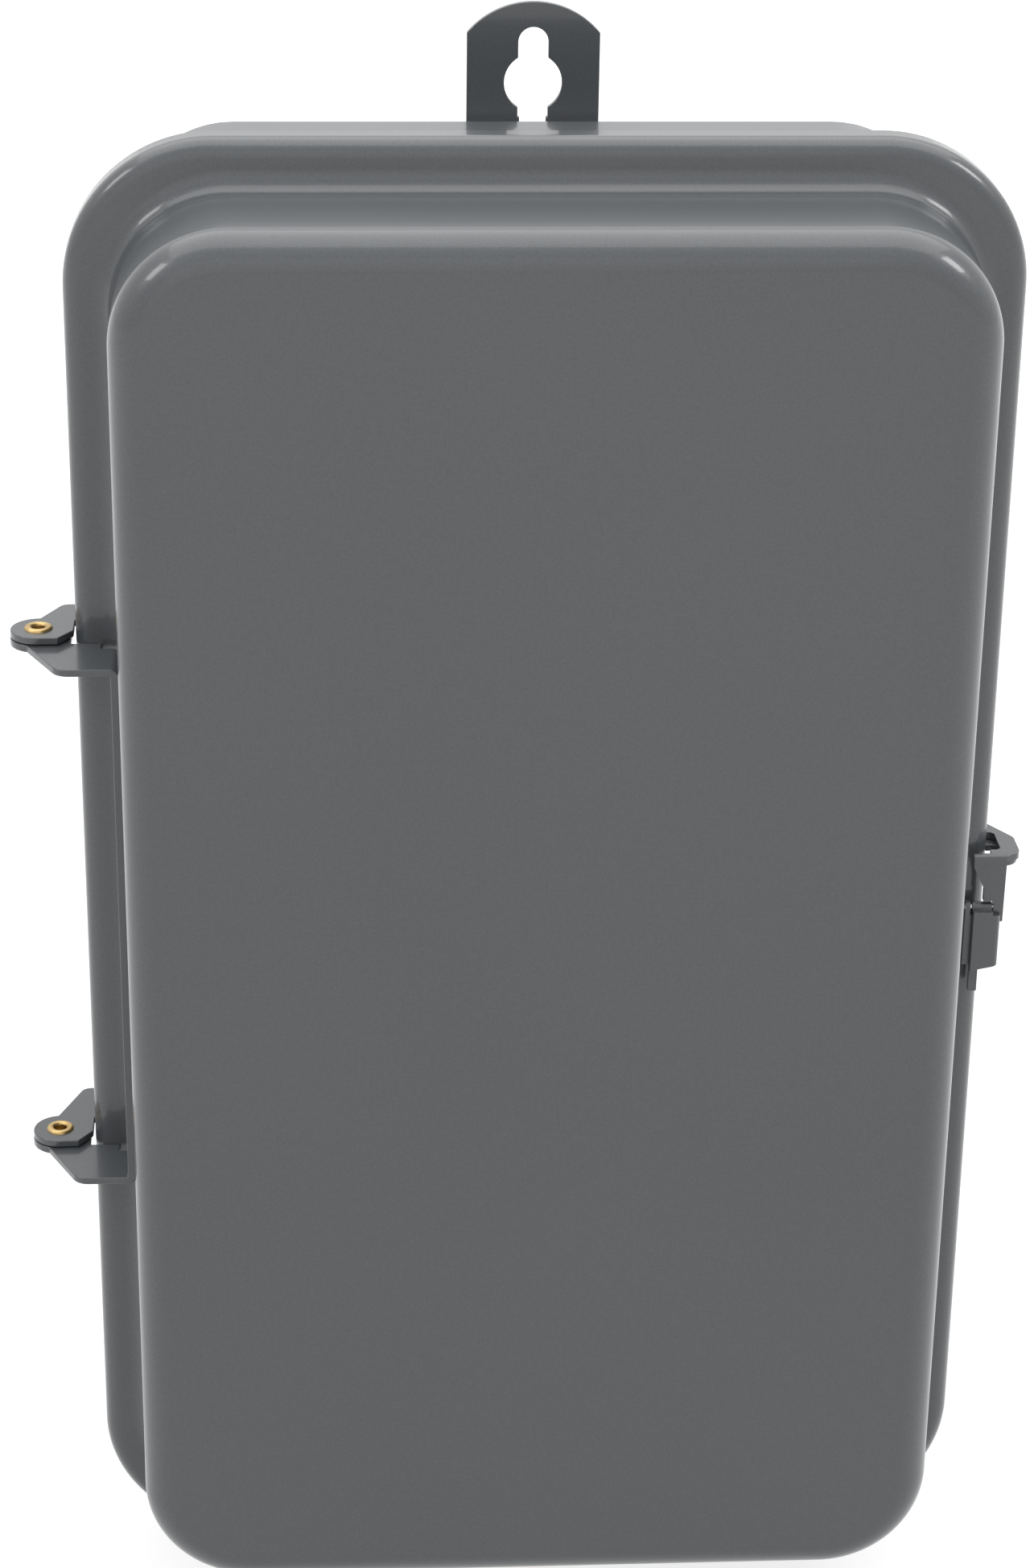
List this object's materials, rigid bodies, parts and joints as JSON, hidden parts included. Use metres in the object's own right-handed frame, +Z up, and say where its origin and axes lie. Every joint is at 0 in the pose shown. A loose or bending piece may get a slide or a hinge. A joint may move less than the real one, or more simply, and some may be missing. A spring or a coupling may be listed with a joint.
{
  "type": "ac disconnect box",
  "caption": "Wall-hung drawn-steel disconnect enclosure: domed cover hinged at the left, hasp latch at the right, keyhole hanger, inner toggle switch with wire lugs.",
  "frame": {"origin": "centre of the rear case's flat back face, on the wall plane", "axes": "+X to the right seen from the front, +Y into the wall, +Z up; the cover faces -Y"},
  "size_m": [0.2822, 0.1275, 0.4508],
  "materials": {
    "enclosure_paint": "baked satin enamel",
    "eyelet_brass": "plated, slightly dull",
    "zinc_steel": "zinc plated",
    "panel_steel": "galvanised",
    "switch_black": "moulded phenolic",
    "handle_red": "moulded, semi-gloss",
    "crossbar_plastic": "moulded",
    "copper_alloy": "copper strip",
    "lug_aluminium": "tin plated",
    "dead_front_grey": "baked satin enamel",
    "insulator_white": "moulded"
  },
  "bodies": {
    "case": {"rear_case": "enclosure_paint", "hanger_tab": "enclosure_paint", "upper_case_ear": "enclosure_paint", "lower_case_ear": "enclosure_paint", "upper_hinge_rivet": "eyelet_brass", "lower_hinge_rivet": "eyelet_brass", "hasp_staple": "enclosure_paint", "latch_keeper": "enclosure_paint", "mounting_panel": "panel_steel", "panel_screws": "zinc_steel", "switch_base": "switch_black", "switch_cover": "switch_black", "switch_screws": "zinc_steel", "line_contacts": "copper_alloy", "load_strips": "copper_alloy", "line_lugs": "lug_aluminium", "load_lugs": "lug_aluminium", "lug_screws": "zinc_steel", "dead_front": "dead_front_grey", "dead_front_posts": "zinc_steel", "dead_front_screws": "zinc_steel", "ground_bar": "lug_aluminium", "ground_bar_screws": "zinc_steel", "neutral_insulator": "insulator_white", "neutral_bar": "lug_aluminium", "neutral_bar_screws": "zinc_steel"},
    "cover": {"front_cover": "enclosure_paint", "cover_hinge_bracket": "enclosure_paint", "cover_hasp": "enclosure_paint", "latch_pin": "zinc_steel"},
    "latch": {"latch_clip": "enclosure_paint"},
    "toggle": {"toggle_handle": "handle_red"},
    "contact_bar": {"contact_crossbar": "crossbar_plastic", "contact_arms": "copper_alloy"}
  },
  "joints": [
    {"name": "cover_hinge", "type": "hinge", "parent": "case", "child": "cover", "pos_m": [-0.138, -0.0757, 0], "axis": [0, 0, -1], "range_deg": [0, 150]},
    {"name": "latch_pivot", "type": "hinge", "parent": "cover", "child": "latch", "pos_m": [0.1262, -0.085, -0.0044], "axis": [-1, 0, 0], "range_deg": [0, 55]},
    {"name": "toggle_pivot", "type": "hinge", "parent": "case", "child": "toggle", "pos_m": [0, -0.071, 0], "axis": [-1, 0, 0], "range_deg": [0, 50]},
    {"name": "contact_pivot", "type": "hinge", "parent": "case", "child": "contact_bar", "pos_m": [0, -0.039, -0.022], "axis": [-1, 0, 0], "range_deg": [0, 22]}
  ],
  "couplings": [
    {"joint": "contact_pivot", "follows": "toggle_pivot", "ratio": 0.44}
  ]
}
